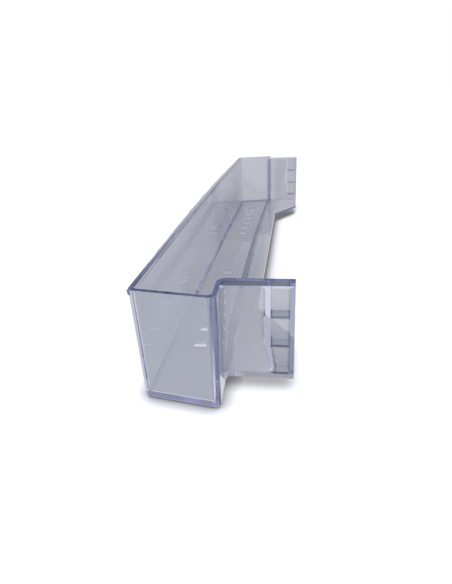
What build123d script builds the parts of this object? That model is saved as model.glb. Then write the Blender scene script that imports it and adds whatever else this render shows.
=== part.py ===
"""Fridge door shelf, moulded in one piece from clear plastic.

The frame: X runs along the shelf, Y from the front wall to the door, Z up. The origin is under the middle
of the shelf, on the plane that the trough's floor stands on. All sizes are in millimetres, and angles in
degrees.
"""
import os
from math import asin, degrees, radians, sqrt, tan

from build123d import *

# Trough
LENGTH = 559.2  # over the end walls where they meet the jogs, at the rim
END_FLARE = 8.6  # how far each end wall slants outwards, from the front wall back to the jog
TROUGH_DEPTH = 54.4  # from the ends of the front wall to the outer corners of the jogs, at the rim
HEIGHT = 78.5
WALL = 2.9  # at the rim
FLOOR_THICKNESS = 3.5
OUTER_DRAFT = 1.0  # lean of the upright outer faces, outwards going up
INNER_DRAFT = 1.4  # lean of the upright inner faces, so that walls thicken going down
FRONT_CROWN = 2.3  # bow of the front wall over its length
BACK_CROWN = 5.5  # bow of the trough's back over its length, towards the front
CORNER_RADIUS = 4.3  # upright outer corners of the trough
CORNER_INNER_RADIUS = 2.8
BOTTOM_RADIUS = 3.2  # outer edge round the underside
FLOOR_RADIUS = 2.5  # inner edge round the floor

# Lip along the front wall
LIP_OVERHANG = 0.45  # past the front wall at its ends
LIP_CROWN = 4.5  # bow of the lip's edge over its length
LIP_HEIGHT = 4.0
LIP_EDGE_RADIUS = 1.4
LIP_END_RADIUS = 1.5

# Raised ledge behind the trough
LEDGE_RISE = 8.0  # step from the trough's underside up to the ledge's
LEDGE_DEPTH = 11.95  # behind the jogs' outer corners
LEDGE_TOP_RADIUS = 4.0
LEDGE_UNDER_RADIUS = 4.2
NOTCH_WIDTH = 313.0  # along the ledge's back edge
NOTCH_MOUTH = 407.0  # at the back of the ears
NOTCH_RADIUS = 3.0

# Ears that reach back into the door
JOG_WIDTH = 25.8  # from the trough's end to the ear's outer face, at the rim
EAR_DEPTH = 43.15  # behind the jogs' outer corners
JOG_RADIUS = 3.0  # inside of the bend from jog to ear
FLANGE_DEPTH = 8.0  # stands out from the ear's outer face
FLANGE_THICKNESS = 1.5

# Ladder of catches on each ear
LADDER_CELLS = 3
LADDER_PITCH = 19.7
LADDER_WIDTH = 17.5  # from the front of its post to the back of the ear
POST_WIDTH = 3.2
RIM_WIDTH = 2.8
RUNG_THICKNESS = 1.4
POST_SHIFT = 2.6  # how far the post's foot steps back
CELL_RADIUS = 1.0
FOOT_RADIUS = 3.0
BEAD_WIDTH = 1.0  # small upright bead in front of the post, beside the middle cell

# Vent holes in the floor, in two rows
VENT_COUNT = 7
VENT_PITCH = 24.4
VENT_LENGTH = 9.0  # along the shelf
VENT_WIDTH = 11.0
VENT_RADIUS = 1.2
VENT_SETBACK = 25.55  # from the front wall's ends to the middle of the holes
VENT_ROW_MIDDLES = (-154.0, 133.0)

# How far cutting shapes reach past what they cut
PAST = 6.0

depth = LIP_OVERHANG + LIP_CROWN + TROUGH_DEPTH + EAR_DEPTH
front_y = LIP_OVERHANG + LIP_CROWN - depth / 2
jog_y = front_y + TROUGH_DEPTH
ledge_back_y = jog_y + LEDGE_DEPTH
back_y = jog_y + EAR_DEPTH
half_back = LENGTH / 2
half_front = half_back - END_FLARE
ear_x = half_back - JOG_WIDTH
post_y = back_y - LADDER_WIDTH
rim_plane = Plane.XY.offset(HEIGHT)
riser_top = LEDGE_RISE + WALL

# The trough's back is one arc along the shelf, about an upright axis far behind it
back_radius = (half_back**2 + BACK_CROWN**2) / (2 * BACK_CROWN)
back_middle_y = jog_y - BACK_CROWN
back_axis = Axis((0, back_middle_y + back_radius, 0), (0, 0, 1))


def back_point(x):
    """Point on the back's arc at the rim, outside, at this distance along the shelf."""
    return (x, back_middle_y + back_radius - sqrt(back_radius**2 - x**2))


def lean(height, angle):
    """How far a drafted face has moved inwards, from the rim down to this height."""
    return (HEIGHT - height) * tan(radians(angle))


def corners_near(outline, x, y):
    """The mirrored pair of corners that lies closest to this point."""
    return sorted(outline.vertices(), key=lambda corner: abs(abs(corner.X) - x) + abs(corner.Y - y))[:2]


def plan_outline(inset, corner_radius, jog_radius):
    """Outline of the shelf at its rim, set in from the outer faces and carried past the ears' backs."""
    front = ThreePointArc((-half_front, front_y), (0, front_y - FRONT_CROWN), (half_front, front_y))
    jog_middle = (half_back + ear_x) / 2
    right_jog = ThreePointArc(back_point(half_back), back_point(jog_middle), back_point(ear_x))
    left_jog = ThreePointArc(back_point(-ear_x), back_point(-jog_middle), back_point(-half_back))
    right_end = Line((half_front, front_y), back_point(half_back))
    left_end = Line(back_point(-half_back), (-half_front, front_y))
    ears = Polyline(
        back_point(ear_x),
        (ear_x, back_y + PAST),
        (-ear_x, back_y + PAST),
        back_point(-ear_x),
    )
    outline = make_face([front, right_end, right_jog, ears, left_jog, left_end])
    if inset:
        outline = offset(outline, -inset, kind=Kind.INTERSECTION)
    outline = fillet(corners_near(outline, *back_point(ear_x)), jog_radius)
    outline = fillet(corners_near(outline, half_front, front_y), corner_radius)
    return fillet(corners_near(outline, half_back, jog_y), corner_radius)


def drafted(outline, drop, angle):
    """Block that hangs from an outline at the rim and narrows going down."""
    block = extrude(rim_plane * outline, -drop)
    uprights = block.faces().sort_by(Axis.Z)[1:-1]
    return draft(uprights, rim_plane, -angle)


def along_back(outline, reach):
    """A side-view outline of depth and height, carried along the back's arc both ways from its middle."""
    swing = 2 * degrees(asin(reach / back_radius))
    turned = revolve(Plane.YZ * outline, back_axis, revolution_arc=swing)
    return turned.rotate(back_axis, -swing / 2)


def trough_and_ears():
    """Solid body under the rim, with the space below the ledge taken away and its lower edges rounded."""
    block = drafted(plan_outline(0, CORNER_RADIUS, JOG_RADIUS), HEIGHT, OUTER_DRAFT)
    below = make_face(
        Polyline(
            (back_middle_y - lean(-PAST, OUTER_DRAFT), -PAST),
            (back_middle_y - lean(LEDGE_RISE, OUTER_DRAFT), LEDGE_RISE),
            (back_y + 2 * PAST, LEDGE_RISE),
            (back_y + 2 * PAST, -PAST),
            close=True,
        )
    )
    bend = below.vertices().group_by(Axis.Y)[-1].sort_by(Axis.X)[0]
    below = fillet(bend, LEDGE_UNDER_RADIUS)
    block -= along_back(below, ear_x + 2 * JOG_RADIUS)
    underside = block.edges().group_by(Axis.Z)[0]
    return fillet(underside, BOTTOM_RADIUS)


def inside():
    """The open space over the floor and the ledge, between all the walls."""
    outline = plan_outline(WALL, CORNER_INNER_RADIUS, JOG_RADIUS + WALL)
    space = drafted(outline, HEIGHT - FLOOR_THICKNESS, INNER_DRAFT)
    riser_y = back_middle_y - WALL
    ledge = make_face(
        Polyline(
            (riser_y - lean(-PAST, INNER_DRAFT), -PAST),
            (riser_y - lean(riser_top, INNER_DRAFT), riser_top),
            (back_y + 2 * PAST, riser_top),
            (back_y + 2 * PAST, -PAST),
            close=True,
        )
    )
    bend = ledge.vertices().group_by(Axis.Y)[-1].sort_by(Axis.X)[0]
    ledge = fillet(bend, LEDGE_TOP_RADIUS)
    space -= along_back(ledge, ear_x + 2 * JOG_RADIUS)
    floor_edges = space.edges().group_by(Axis.Z)[0]
    return fillet(floor_edges, FLOOR_RADIUS)


def lip():
    """Crowned bead along the top of the front wall."""
    edge_y = front_y - LIP_OVERHANG
    edge = ThreePointArc((-half_front, edge_y), (0, edge_y - LIP_CROWN), (half_front, edge_y))
    rest = Polyline(
        (half_front, edge_y),
        (half_front, front_y + CORNER_RADIUS),
        (-half_front, front_y + CORNER_RADIUS),
        (-half_front, edge_y),
    )
    outline = make_face([edge, rest])
    outline = fillet(outline.vertices().group_by(Axis.Y)[0], LIP_END_RADIUS)
    bead = extrude(rim_plane * outline, -LIP_HEIGHT)
    front_face = bead.faces().sort_by(Axis.Y)[0]
    return fillet(front_face.edges().filter_by(GeomType.CIRCLE), LIP_EDGE_RADIUS)


def ladder():
    """Flange along the ear's top with the ladder of catches at its back, for the ear at +X."""
    under_flange = HEIGHT - FLANGE_THICKNESS
    flange_front = back_point(ear_x)[1] - WALL / 2
    foot = HEIGHT - LADDER_CELLS * LADDER_PITCH - RUNG_THICKNESS
    step_top = HEIGHT - (LADDER_CELLS - 1) * LADDER_PITCH - RUNG_THICKNESS
    frame = make_face(
        Polyline(
            (flange_front, HEIGHT),
            (back_y, HEIGHT),
            (back_y, foot),
            (post_y + POST_SHIFT, foot),
            (post_y + POST_SHIFT, foot + FOOT_RADIUS + RUNG_THICKNESS),
            (post_y, step_top),
            (post_y, under_flange),
            (flange_front, under_flange),
            close=True,
        )
    )
    foot_corner = frame.vertices().group_by(Axis.Y)[0].sort_by(Axis.X)[0]
    frame = fillet(foot_corner, FOOT_RADIUS)
    for cell in range(LADDER_CELLS):
        top = HEIGHT - cell * LADDER_PITCH - (RUNG_THICKNESS if cell else FLANGE_THICKNESS)
        bottom = HEIGHT - (cell + 1) * LADDER_PITCH
        shift = POST_SHIFT if cell == LADDER_CELLS - 1 else 0
        opening = make_face(
            Polyline(
                (post_y + POST_WIDTH, top),
                (back_y - RIM_WIDTH, top),
                (back_y - RIM_WIDTH, bottom),
                (post_y + POST_WIDTH + shift, bottom),
                close=True,
            )
        )
        frame -= fillet(opening.vertices(), CELL_RADIUS)
    bead_middle = HEIGHT - LADDER_CELLS / 2 * LADDER_PITCH
    frame += Pos(post_y, bead_middle) * SlotOverall(LADDER_PITCH, 2 * BEAD_WIDTH, rotation=90)
    root_x = ear_x - lean(foot, OUTER_DRAFT) - WALL / 2
    return extrude(Plane.YZ.offset(root_x) * frame, ear_x + FLANGE_DEPTH - root_x)


def notch():
    """Wide cut in the ledge that clears the swell of the door's lining."""
    mouth_slope = (NOTCH_MOUTH - NOTCH_WIDTH) / 2 / (back_y - ledge_back_y)
    far_half = NOTCH_MOUTH / 2 + mouth_slope * PAST
    outline = make_face(
        Polyline(
            (-NOTCH_WIDTH / 2, ledge_back_y),
            (NOTCH_WIDTH / 2, ledge_back_y),
            (far_half, back_y + PAST),
            (-far_half, back_y + PAST),
            close=True,
        )
    )
    outline = fillet(outline.vertices().group_by(Axis.Y)[0], NOTCH_RADIUS)
    return extrude(outline, HEIGHT)


def vents():
    """Two rows of rounded holes through the trough's floor."""
    hole = RectangleRounded(VENT_LENGTH, VENT_WIDTH, VENT_RADIUS)
    row = GridLocations(VENT_PITCH, 0, VENT_COUNT, 1)
    row_places = [Pos(middle, front_y + VENT_SETBACK) for middle in VENT_ROW_MIDDLES]
    places = [row_place * place for row_place in row_places for place in row]
    return [extrude(place * hole, FLOOR_THICKNESS + PAST, both=True) for place in places]


def door_shelf():
    """The whole moulding."""
    right_ladder = ladder()
    shelf = trough_and_ears() + lip() + right_ladder + mirror(right_ladder, Plane.YZ)
    shelf -= inside()
    shelf -= notch()
    shelf -= vents()
    back_plane = Plane((0, back_y, 0), z_dir=(0, 1, 0))
    return split(shelf, back_plane, keep=Keep.BOTTOM)


os.makedirs("parts", exist_ok=True)
export_step(door_shelf(), "parts/door_shelf.step")
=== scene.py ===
import bpy
import numpy as np
from mathutils import Matrix, Vector


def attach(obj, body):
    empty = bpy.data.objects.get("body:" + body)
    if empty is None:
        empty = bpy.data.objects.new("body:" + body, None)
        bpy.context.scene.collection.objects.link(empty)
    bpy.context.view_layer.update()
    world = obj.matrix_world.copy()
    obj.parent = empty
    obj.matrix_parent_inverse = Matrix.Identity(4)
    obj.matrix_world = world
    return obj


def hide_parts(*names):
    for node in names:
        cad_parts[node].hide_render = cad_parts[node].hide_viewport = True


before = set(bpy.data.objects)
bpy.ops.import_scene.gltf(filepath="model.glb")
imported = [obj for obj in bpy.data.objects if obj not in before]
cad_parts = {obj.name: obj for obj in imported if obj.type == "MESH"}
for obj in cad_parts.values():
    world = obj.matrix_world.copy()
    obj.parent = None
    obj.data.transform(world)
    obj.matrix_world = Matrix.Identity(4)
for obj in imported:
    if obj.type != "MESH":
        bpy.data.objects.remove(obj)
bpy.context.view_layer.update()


# Shelf: the whole object, one injection moulding in clear plastic with a faint violet-blue tint.
# Thin walls stay pale. Rims and cut edges, which gather light from far inside, go deep blue, partly by real
# absorption along that long path and partly by painted shade; other faces carry painted shade or painted
# light.
# The moulding's own mesh gives the shape: its loose triangles are joined and its rounded edges shaded smooth.
WELD = 1e-6  # metres, as are all sizes
SHARP_ANGLE = np.radians(50)
FLAT_FACE_WEIGHT = 50
LOOSE_BEND = 1 / 0.0039  # one over the radius past which an edge no longer counts as rounded
TIGHT_BEND = 1 / 0.0027
LEAST_LEAN = 0.04
FULL_LEAN = 0.18
LEVEL_SHARE = 0.9  # a level face's upright has at least this part along Z
SLANT_SHARE = 0.98
STEEP_SHARE = 0.3
FLOOR_TOP = 0.0036
LEDGE_TOP = 0.0115
RIM_FOOT = 0.0745
VENT_FRONT = -0.0405
VENT_BACK = -0.004
RISER_FRONT = -0.009
RISER_BACK = 0.0125
JOG_FRONT = 0.001
WING_FRONT = 0.0205
EAR_BACK = 0.0484
EAR_INSIDE = 0.25
EAR_OUTSIDE = 0.254
PANEL_OUTSIDE = 0.2555
JOG_INSIDE = 0.268
# How strongly thin rims and low rounded edges take their painted shade, and how much clearness some faces
# lose to haze.
THIN_RIM = 0.55
LOW_BEND = 0.7
VENT_HAZE = 0.65
RISER_HAZE = 1.0
RUNG_HAZE = 0.5
CORNER_HAZE = 0.5
FACE_REGIONS = ("level", "rim", "end_edge", "rounded", "clear", "vent_wall", "front_corner", "haze", "panel")


def bend(points, faces, upright, double_area):
    """How tightly the surface bends at each face, in 1/m.

    It is the turn to a neighbour over the face's width there, which is twice the face's area over the
    length of their shared edge, and the tightest neighbour counts. One past SHARP_ANGLE is across an edge
    and doesn't count.
    """
    sides = np.sort(faces[:, [[0, 1], [1, 2], [2, 0]]].reshape(-1, 2), axis=1)
    order = np.lexsort(sides.T)
    ranked = sides[order]
    shared = np.flatnonzero((ranked[1:] == ranked[:-1]).all(axis=1))
    one = order[shared] // 3
    other = order[shared + 1] // 3
    length = np.linalg.norm(points[ranked[shared, 0]] - points[ranked[shared, 1]], axis=1)
    turn = np.arccos(np.clip((upright[one] * upright[other]).sum(axis=1), -1, 1))
    turn[turn > SHARP_ANGLE] = 0
    tightest = np.zeros(len(faces))
    np.maximum.at(tightest, one, turn * length / double_area[one])
    np.maximum.at(tightest, other, turn * length / double_area[other])
    return tightest


def regions(points, faces):
    """Share from 0 to 1 of each face in each of FACE_REGIONS, from how the face lies and where its middle is.

    A face leans by one less the largest part of its upright, so one that is square to an axis doesn't lean.
    A rounded face leans, bends tightly and runs along the shelf. Haze is the share of its clearness that a
    face loses.
    """
    first, second, third = (points[faces[:, corner]] for corner in range(3))
    upright = np.cross(second - first, third - first)
    double_area = np.linalg.norm(upright, axis=1)
    upright /= double_area[:, None]
    x, y, z = ((first + second + third) / 3).T
    top = points[faces][:, :, 2].max(axis=1)
    sideways = np.abs(x)
    flat = np.abs(upright[:, 2])
    lean = np.clip((1 - np.abs(upright).max(axis=1) - LEAST_LEAN) / (FULL_LEAN - LEAST_LEAN), 0, 1)
    tightness = bend(points, faces, upright, double_area)
    tightness = np.clip((tightness - LOOSE_BEND) / (TIGHT_BEND - LOOSE_BEND), 0, 1)
    steep = flat < STEEP_SHARE
    lengthwise = np.abs(upright[:, 0]) < STEEP_SHARE
    inside = sideways < EAR_INSIDE
    vent = inside & steep & (top < FLOOR_TOP) & (y > VENT_FRONT) & (y < VENT_BACK)
    slanted = lengthwise & (flat < SLANT_SHARE)
    riser = inside & slanted & (z < LEDGE_TOP) & (y > RISER_FRONT) & (y < RISER_BACK)
    rung = ~inside & (flat > LEVEL_SHARE) & (y > WING_FRONT) & (z > LEDGE_TOP) & (z < RIM_FOOT)
    front_end = ~inside & steep & (y < VENT_FRONT)
    front_corner = front_end & (lean > 0) & (upright[:, 1] < 0)
    jog_corner = steep & (sideways > JOG_INSIDE) & (y > JOG_FRONT) & (y < RISER_BACK)
    end_bend = ~inside & (lean > 0) & ((z < FLOOR_TOP) | jog_corner)
    ear_edge = ~inside & (y > EAR_BACK)
    ledge_edge = inside & steep & (y > RISER_BACK) & (z < LEDGE_TOP)
    lip_or_flange = (y < VENT_FRONT) | (sideways > EAR_OUTSIDE) & (y > RISER_BACK)
    low = inside & (z < LEDGE_TOP)
    # Masks for the painted shade and painted light of clear_plastic, and the haze of each face.
    return {
        "level": flat > LEVEL_SHARE,
        "rim": ((z > RIM_FOOT) & ~steep) * np.where(lip_or_flange, THIN_RIM, 1),
        "end_edge": end_bend | ear_edge | ledge_edge,
        "rounded": tightness * lean * lengthwise * ~front_end * np.where(low, LOW_BEND, 1),
        "clear": rung,
        "vent_wall": vent | riser,
        "front_corner": front_corner,
        "haze": np.select(
            [vent, riser, rung, front_corner], [VENT_HAZE, RISER_HAZE, RUNG_HAZE, CORNER_HAZE], 0.0
        ),
        "panel": ~inside & (upright[:, 0] * np.sign(x) > SLANT_SHARE) & (sideways < PANEL_OUTSIDE),
    }


def joined_copy(node, name):
    """Mesh of a CAD node with equal corners joined.

    Each corner is rounded to WELD, equal rows become one, and a triangle that this closes up is left out.
    """
    source = node.data
    corners = np.empty(len(source.vertices) * 3)
    source.vertices.foreach_get("co", corners)
    triangles = np.empty(len(source.loops), int)
    source.loops.foreach_get("vertex_index", triangles)
    places = np.round(corners.reshape(-1, 3) / WELD).astype(np.int64)
    kept, joined = np.unique(places, axis=0, return_inverse=True)
    faces = joined.ravel()[triangles].reshape(-1, 3)
    whole = (faces[:, 0] != faces[:, 1]) & (faces[:, 1] != faces[:, 2]) & (faces[:, 2] != faces[:, 0])
    mesh = bpy.data.meshes.new(name)
    mesh.from_pydata((kept * WELD).tolist(), [], faces[whole].tolist())
    mesh.polygons.foreach_set("use_smooth", np.ones(len(mesh.polygons), bool))
    mesh.set_sharp_from_angle(angle=SHARP_ANGLE)
    shares = regions(kept * WELD, faces[whole])
    for region in FACE_REGIONS:
        attribute = mesh.attributes.new(region, "FLOAT", "FACE")
        attribute.data.foreach_set("value", shares[region].astype(np.float32))
    return mesh


def region_share(tree, region):
    """The share of a region that the mesh carries for each face."""
    share = tree.nodes.new("ShaderNodeAttribute")
    share.attribute_name = region
    return share.outputs["Fac"]


def noise(tree, place, scale, detail):
    """Noise over the object's own coordinates, scale to the metre."""
    pattern = tree.nodes.new("ShaderNodeTexNoise")
    pattern.inputs["Scale"].default_value = scale
    pattern.inputs["Detail"].default_value = detail
    tree.links.new(place.outputs["Object"], pattern.inputs["Vector"])
    return pattern.outputs["Fac"]


def ramp(tree, value, start, low, end, high):
    """Colours that go from low where a value is start to high where it is end."""
    colours = tree.nodes.new("ShaderNodeValToRGB")
    stops = colours.color_ramp.elements
    stops[0].position = start
    stops[0].color = low
    stops[1].position = end
    stops[1].color = high
    tree.links.new(value, colours.inputs["Fac"])
    return colours.outputs["Color"]


def rising(tree, value, start, full):
    """Share that goes from 0 where a value is start to 1 where it is full, and stays so past them."""
    share = tree.nodes.new("ShaderNodeMapRange")
    share.inputs["From Min"].default_value = start
    share.inputs["From Max"].default_value = full
    tree.links.new(value, share.inputs["Value"])
    return share.outputs["Result"]


def within(tree, value, low, high):
    """1 where a value lies between low and high, and 0 elsewhere."""
    between = tree.nodes.new("ShaderNodeMath")
    between.operation = "COMPARE"
    between.inputs[1].default_value = (low + high) / 2
    between.inputs[2].default_value = (high - low) / 2
    tree.links.new(value, between.inputs[0])
    return between.outputs["Value"]


def unsigned(tree, value):
    """A value without its sign."""
    size = tree.nodes.new("ShaderNodeMath")
    size.operation = "ABSOLUTE"
    tree.links.new(value, size.inputs[0])
    return size.outputs["Value"]


def product(tree, share, *others):
    """Shares multiplied."""
    for other in others:
        multiplied = tree.nodes.new("ShaderNodeMath")
        multiplied.operation = "MULTIPLY"
        tree.links.new(share, multiplied.inputs[0])
        tree.links.new(other, multiplied.inputs[1])
        share = multiplied.outputs["Value"]
    return share


def plus(tree, value, other, times):
    """A value with another added to it so many times."""
    added = tree.nodes.new("ShaderNodeMath")
    added.operation = "MULTIPLY_ADD"
    added.inputs[1].default_value = times
    tree.links.new(other, added.inputs[0])
    tree.links.new(value, added.inputs[2])
    return added.outputs["Value"]


def mixed(tree, share, one, other):
    """One colour turned into another by a share. A tuple is a colour that is the same all over."""
    mix = tree.nodes.new("ShaderNodeMixRGB")
    tree.links.new(share, mix.inputs["Fac"])
    for colour, entry in ((one, mix.inputs["Color1"]), (other, mix.inputs["Color2"])):
        if isinstance(colour, tuple):
            entry.default_value = colour
        else:
            tree.links.new(colour, entry)
    return mix.outputs["Color"]


PLASTIC_IOR = 1.50
CLEARNESS = 0.82
NOISE_LOW = 0.25
NOISE_HIGH = 0.75
CLOUD_SCALE = 14
CLOUD_DETAIL = 3
DEEP_CLOUD = (0.515, 0.528, 0.585, 1)
PALE_CLOUD = (0.555, 0.568, 0.625, 1)
# Painted shade: level faces, rims, end edges, rounded and front corners, the end walls' feet and the ear
# panels darker. Painted light: level faces further back, rungs, vent walls and riser, and the ears' feet
# paler.
PAINTED_SHADE_AND_LIGHT = {  # in the order in which they are laid over each other
    "level": (0.47, 0.48, 0.52, 1),
    "wing": (0.66, 0.67, 0.71, 1),
    "rim": (0.15, 0.155, 0.195, 1),
    "end_edge": (0.25, 0.26, 0.38, 1),
    "rounded": (0.10, 0.105, 0.15, 1),
    "clear": (0.86, 0.87, 0.91, 1),
    "vent_wall": (0.90, 0.91, 0.95, 1),
    "front_corner": (0.40, 0.41, 0.46, 1),
    "end_foot": (0.155, 0.16, 0.27, 1),
    "ear_foot": (0.86, 0.87, 0.91, 1),
    "panel": (0.33, 0.338, 0.373, 1),
}
# Painted shade: dark lines along the edges of the ears' rungs.
PAINTED_RUNG_EDGE_SHADE = (0.10, 0.105, 0.15, 1)
SHELF_REACH = 0.5  # past the shelf on every side
WING_START = 0.011
WING_FULL = 0.027
END_SLANT = 8.6 / 54.4  # how far the end walls splay for each metre of depth
END_INSIDE = 0.2755
FOOT_TOP = 0.0052
FOOT_HAZE = 0.6
EAR_FOOT_INSIDE = 0.252
PANEL_START = 0.008
PANEL_FULL = 0.020
PANEL_HAZE = 0.335
RUNG_MIDDLES = (0.0188, 0.0385, 0.0582)
RUNG_HALF = 0.0012
RUNG_FRONT = 0.0368
RUNG_INSIDE = 0.2612
GLOSS_SCALE = 60
GLOSS_DETAIL = 4
GLOSSIEST = (0.008, 0.008, 0.008, 1)
LEAST_GLOSSY = (0.03, 0.03, 0.03, 1)
MATT = (0.6, 0.6, 0.6, 1)
RIPPLE_SCALE = 35
RIPPLE_DETAIL = 2
RIPPLE_STRENGTH = 0.015
RIPPLE_DEPTH = 0.0004
ABSORPTION_COLOUR = (0.10, 0.14, 0.88, 1)
ABSORPTION_DENSITY = 10.0


def clear_plastic():
    """Clear tinted plastic: refraction, absorption that grows with the path inside, haze and flow marks.

    Each region mixes in its painted shade or painted light, a darker or paler colour. It is a share that the
    faces carry, a box in the shelf's own coordinates, or both multiplied. Haze takes clearness from the
    outside of a face alone, so light inside goes on freely.
    """
    material = bpy.data.materials.new("clear_plastic")
    material.use_nodes = True
    tree = material.node_tree
    shader = tree.nodes["Principled BSDF"]
    shader.inputs["IOR"].default_value = PLASTIC_IOR
    place = tree.nodes.new("ShaderNodeTexCoord")
    parts = tree.nodes.new("ShaderNodeSeparateXYZ")
    tree.links.new(place.outputs["Object"], parts.inputs["Vector"])
    along, back, up = parts.outputs
    sideways = unsigned(tree, along)
    shares = {region: region_share(tree, region) for region in FACE_REGIONS}
    # Painted light on level faces further back, painted shade on the ear panels further back, deep blue
    # painted shade at the end walls' feet, and painted light at the ears' feet.
    shares["wing"] = product(tree, shares["level"], rising(tree, back, WING_START, WING_FULL))
    shares["panel"] = product(tree, shares["panel"], rising(tree, back, PANEL_START, PANEL_FULL))
    shares["end_foot"] = product(
        tree,
        within(tree, up, 0, FOOT_TOP),
        within(tree, plus(tree, sideways, back, -END_SLANT), END_INSIDE, SHELF_REACH),
    )
    shares["ear_foot"] = product(
        tree,
        within(tree, back, RISER_BACK, SHELF_REACH),
        within(tree, up, 0, LEDGE_TOP),
        within(tree, sideways, EAR_FOOT_INSIDE, SHELF_REACH),
    )
    clouds = noise(tree, place, CLOUD_SCALE, CLOUD_DETAIL)
    colour = ramp(tree, clouds, NOISE_LOW, DEEP_CLOUD, NOISE_HIGH, PALE_CLOUD)
    # Painted shade and painted light, laid region by region over the clouds.
    for region, painted_colour in PAINTED_SHADE_AND_LIGHT.items():
        colour = mixed(tree, shares[region], colour, painted_colour)
    # Painted shade: dark lines along the edges of the ears' rungs.
    for middle in RUNG_MIDDLES:
        rung_edge = product(
            tree,
            within(tree, back, RUNG_FRONT, EAR_BACK),
            within(tree, up, middle - RUNG_HALF, middle + RUNG_HALF),
            within(tree, sideways, RUNG_INSIDE, SHELF_REACH),
        )
        colour = mixed(tree, rung_edge, colour, PAINTED_RUNG_EDGE_SHADE)
    tree.links.new(colour, shader.inputs["Base Color"])
    haze = plus(tree, shares["haze"], shares["panel"], PANEL_HAZE)
    haze = plus(tree, haze, shares["end_foot"], FOOT_HAZE)
    outside = tree.nodes.new("ShaderNodeMapRange")
    outside.inputs["To Min"].default_value = CLEARNESS
    outside.inputs["To Max"].default_value = 0.0
    tree.links.new(haze, outside.inputs["Value"])
    clearness = tree.nodes.new("ShaderNodeMapRange")
    side = tree.nodes.new("ShaderNodeNewGeometry")
    tree.links.new(side.outputs["Backfacing"], clearness.inputs["Value"])
    tree.links.new(outside.outputs["Result"], clearness.inputs["To Min"])
    tree.links.new(clearness.outputs["Result"], shader.inputs["Transmission Weight"])
    specks = noise(tree, place, GLOSS_SCALE, GLOSS_DETAIL)
    gloss = ramp(tree, specks, NOISE_LOW, GLOSSIEST, NOISE_HIGH, LEAST_GLOSSY)
    gloss = mixed(tree, shares["vent_wall"], gloss, MATT)
    gloss = mixed(tree, shares["ear_foot"], gloss, MATT)
    tree.links.new(gloss, shader.inputs["Roughness"])
    ripple = tree.nodes.new("ShaderNodeBump")
    ripple.inputs["Strength"].default_value = RIPPLE_STRENGTH
    ripple.inputs["Distance"].default_value = RIPPLE_DEPTH
    tree.links.new(noise(tree, place, RIPPLE_SCALE, RIPPLE_DETAIL), ripple.inputs["Height"])
    tree.links.new(ripple.outputs["Normal"], shader.inputs["Normal"])
    absorption = tree.nodes.new("ShaderNodeVolumeAbsorption")
    absorption.inputs["Color"].default_value = ABSORPTION_COLOUR
    absorption.inputs["Density"].default_value = ABSORPTION_DENSITY
    tree.links.new(absorption.outputs["Volume"], tree.nodes["Material Output"].inputs["Volume"])
    return material


shelf = bpy.data.objects.new("shelf", joined_copy(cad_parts["door_shelf"], "shelf"))
bpy.context.scene.collection.objects.link(shelf)
flat_faces = shelf.modifiers.new("flat_faces", "WEIGHTED_NORMAL")
flat_faces.keep_sharp = True
flat_faces.weight = FLAT_FACE_WEIGHT
shelf.data.materials.append(clear_plastic())
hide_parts("door_shelf")
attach(shelf, "root")


# Floor: a wide matt white sheet just under the shelf, a stage for it and no part of it.
# Painted shade darkens it close to the shelf, and further out beside the raised ledge, and painted light
# keeps it pale under the trough.
# Mirrored or seen through the plastic it shows its plain white.
FLOOR_GAP = 0.0003
FLOOR_HALF = 6.0
FLOOR_GLOW = 0.12
WHITE = (1, 1, 1, 1)
PAPER = (0.95, 0.95, 0.95, 1)
# Painted shade near the shelf and painted light under the trough, in the paper's colour:
SHADE = (0.06, 0.06, 0.07, 1)
LIT_PAPER = (0.80, 0.80, 0.82, 1)
LIT_HALF_LENGTH = 0.255
LIT_FRONT = -0.039
LIT_BACK = -0.005
SHADE_REACH = 0.012
SHADE_DARK = 0.28
SHADE_LIGHT = 0.90
LEDGE_SHADE_REACH = 0.03
LEDGE_SHADE_DARK = 0.50
LEDGE_SHADE_LIGHT = 0.88
LEDGE_SHADE_SIDES = (0.24, 0.20)  # where it is none and where it is full, as in the next
LEDGE_SHADE_BACK = (0.053, 0.046)

floor_mesh = bpy.data.meshes.new("floor")
floor_mesh.from_pydata(
    [
        (-FLOOR_HALF, -FLOOR_HALF, -FLOOR_GAP),
        (FLOOR_HALF, -FLOOR_HALF, -FLOOR_GAP),
        (FLOOR_HALF, FLOOR_HALF, -FLOOR_GAP),
        (-FLOOR_HALF, FLOOR_HALF, -FLOOR_GAP),
    ],
    [],
    [(0, 1, 2, 3)],
)
floor = bpy.data.objects.new("floor", floor_mesh)
bpy.context.scene.collection.objects.link(floor)


def shade(tree, reach, dark, light):
    """The paper's colour by how much of the air within reach is open.

    It is SHADE up to the dark share, PAPER from the light share on, and even between them.
    """
    open_air = tree.nodes.new("ShaderNodeAmbientOcclusion")
    open_air.inputs["Distance"].default_value = reach
    return ramp(tree, open_air.outputs["AO"], dark, SHADE, light, PAPER)


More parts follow.
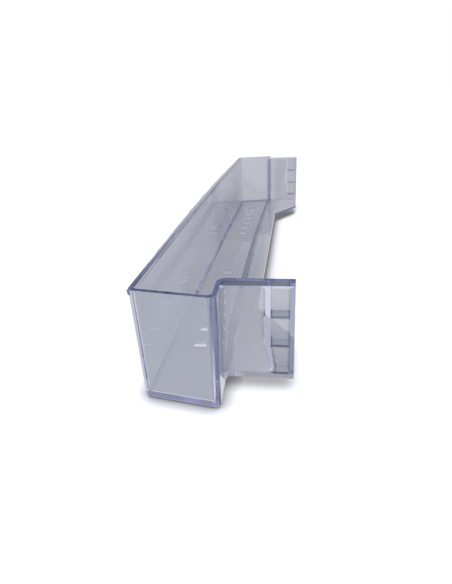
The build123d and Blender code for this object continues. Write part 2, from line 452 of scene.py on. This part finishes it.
def floor_paper():
    """Matt white paper, shaded near the shelf, and plain white to rays that come by way of the plastic."""
    material = bpy.data.materials.new("floor_paper")
    material.use_nodes = True
    tree = material.node_tree
    paper = tree.nodes["Principled BSDF"]
    paper.inputs["Roughness"].default_value = 1.0
    paper.inputs["Specular IOR Level"].default_value = 0.0
    paper.inputs["Emission Color"].default_value = WHITE
    paper.inputs["Emission Strength"].default_value = FLOOR_GLOW
    place = tree.nodes.new("ShaderNodeTexCoord")
    parts = tree.nodes.new("ShaderNodeSeparateXYZ")
    tree.links.new(place.outputs["Object"], parts.inputs["Vector"])
    along = parts.outputs["X"]
    back = parts.outputs["Y"]
    by_ledge = product(
        tree,
        rising(tree, unsigned(tree, along), *LEDGE_SHADE_SIDES),
        rising(tree, back, *LEDGE_SHADE_BACK),
        within(tree, back, 0, SHELF_REACH),
    )
    under_trough = product(
        tree,
        within(tree, along, -LIT_HALF_LENGTH, LIT_HALF_LENGTH),
        within(tree, back, LIT_FRONT, LIT_BACK),
    )
    colour = mixed(
        tree,
        by_ledge,
        shade(tree, SHADE_REACH, SHADE_DARK, SHADE_LIGHT),
        shade(tree, LEDGE_SHADE_REACH, LEDGE_SHADE_DARK, LEDGE_SHADE_LIGHT),
    )
    colour = mixed(tree, under_trough, colour, LIT_PAPER)
    tree.links.new(colour, paper.inputs["Base Color"])
    path = tree.nodes.new("ShaderNodeLightPath")
    by_plastic = tree.nodes.new("ShaderNodeMath")
    by_plastic.operation = "MAXIMUM"
    tree.links.new(path.outputs["Is Glossy Ray"], by_plastic.inputs[0])
    tree.links.new(path.outputs["Is Transmission Ray"], by_plastic.inputs[1])
    white = tree.nodes.new("ShaderNodeEmission")
    shown = tree.nodes.new("ShaderNodeMixShader")
    tree.links.new(by_plastic.outputs["Value"], shown.inputs["Fac"])
    tree.links.new(paper.outputs["BSDF"], shown.inputs[1])
    tree.links.new(white.outputs["Emission"], shown.inputs[2])
    tree.links.new(shown.outputs["Shader"], tree.nodes["Material Output"].inputs["Surface"])
    return material


floor.data.materials.append(floor_paper())


# Light: a white room with a dark bluish ceiling, which shows in and through the plastic, and three lamps.
# The overhead one lights the floor alone, without shadows, so that the shelf's rims stay dark.
# A softbox past the near end and a wide lamp low in front light the shelf alone.
CEILING = (0.30, 0.32, 0.42, 1)
WALL_TOP = np.sin(np.radians(12))
CEILING_EDGE = np.sin(np.radians(22))
OVERHEAD_SHARE = 0.65
OVERHEAD_FROM = Vector((-0.05, -0.10, 1.0))
OVERHEAD_WIDTH = np.radians(18)
SOFTBOX_SIZE = 0.20
SOFTBOX_POWER = 8.2  # watts
SOFTBOX_PLACE = Vector((1.05, 0.12, 0.10))
SOFTBOX_AIM = Vector((0.2, 0, 0.03))
SIDE_SHARE = 0.60
SIDE_FROM = Vector((0.10, -0.95, 0.15))
SIDE_WIDTH = np.radians(50)
MOST_BOUNCES = 32
GLOSSY_BOUNCES = 16
TRANSMISSION_BOUNCES = 24


def lamp_for(lit, data, way):
    """A lamp that shines one way, lights one object alone, and isn't seen mirrored or through plastic."""
    lamp = bpy.data.objects.new(data.name, data)
    lamp.rotation_euler = way.to_track_quat("-Z", "Y").to_euler()
    bpy.context.scene.collection.objects.link(lamp)
    receivers = bpy.data.collections.new(data.name)
    receivers.objects.link(lit)
    lamp.light_linking.receiver_collection = receivers
    lamp.visible_glossy = False
    lamp.visible_transmission = False
    return lamp


def far_lamp(lit, name, share, source, width):
    """A lamp far off towards source, width wide as seen from the shelf, for one object alone.

    A white surface square to it shows the given share of white.
    """
    data = bpy.data.lights.new(name, "SUN")
    data.energy = np.pi * share
    data.angle = width
    return lamp_for(lit, data, -source)


room = bpy.data.worlds.new("white_room")
bpy.context.scene.world = room
room.use_nodes = True
room_tree = room.node_tree
way = room_tree.nodes.new("ShaderNodeTexCoord")
way_parts = room_tree.nodes.new("ShaderNodeSeparateXYZ")
room_tree.links.new(way.outputs["Generated"], way_parts.inputs["Vector"])
ceiling_share = rising(room_tree, way_parts.outputs["Z"], WALL_TOP, CEILING_EDGE)
room_path = room_tree.nodes.new("ShaderNodeLightPath")
room_colour = mixed(room_tree, ceiling_share, WHITE, CEILING)
room_colour = mixed(room_tree, room_path.outputs["Is Camera Ray"], room_colour, WHITE)
room_tree.links.new(room_colour, room_tree.nodes["Background"].inputs["Color"])

overhead = far_lamp(floor, "overhead", OVERHEAD_SHARE, OVERHEAD_FROM, OVERHEAD_WIDTH)
overhead.data.use_shadow = False
softbox_data = bpy.data.lights.new("softbox", "AREA")
softbox_data.shape = "SQUARE"
softbox_data.size = SOFTBOX_SIZE
softbox_data.energy = SOFTBOX_POWER
softbox = lamp_for(shelf, softbox_data, SOFTBOX_AIM - SOFTBOX_PLACE)
softbox.location = SOFTBOX_PLACE
softbox.visible_camera = False
far_lamp(shelf, "side", SIDE_SHARE, SIDE_FROM, SIDE_WIDTH)

bounces = bpy.context.scene.cycles
bounces.max_bounces = MOST_BOUNCES
bounces.glossy_bounces = GLOSSY_BOUNCES
bounces.transmission_bounces = TRANSMISSION_BOUNCES


# Camera: low over the near end of the shelf, close to it, looking along the shelf and down.
# Its place, turns and focal length are those that bring the shelf's corners to where the photograph has them.
IMAGE_HEIGHT = 584
FOCAL_PIXELS = 429.67
SENSOR_HEIGHT = 36.0  # millimetres
NEAREST = 0.01
CAMERA_PLACE = Vector((0.48679, 0.04963, 0.17985))
YAW = 0.1702  # radians, as are the next two
PITCH = 0.4334
ROLL = 0.0511

forward = Vector((-np.cos(PITCH) * np.cos(YAW), -np.cos(PITCH) * np.sin(YAW), -np.sin(PITCH)))
right = Vector((-np.sin(YAW), np.cos(YAW), 0))
down = forward.cross(right)
rolled_right = np.cos(ROLL) * right + np.sin(ROLL) * down
rolled_down = np.cos(ROLL) * down - np.sin(ROLL) * right
camera_data = bpy.data.cameras.new("camera")
camera_data.sensor_fit = "VERTICAL"
camera_data.sensor_height = SENSOR_HEIGHT
camera_data.lens = FOCAL_PIXELS * SENSOR_HEIGHT / IMAGE_HEIGHT
camera_data.clip_start = NEAREST
camera = bpy.data.objects.new("camera", camera_data)
turn = Matrix((rolled_right, -rolled_down, -forward)).transposed()
camera.matrix_world = Matrix.Translation(CAMERA_PLACE) @ turn.to_4x4()
bpy.context.scene.collection.objects.link(camera)
bpy.context.scene.camera = camera

bpy.context.scene.view_settings.view_transform = "Standard"
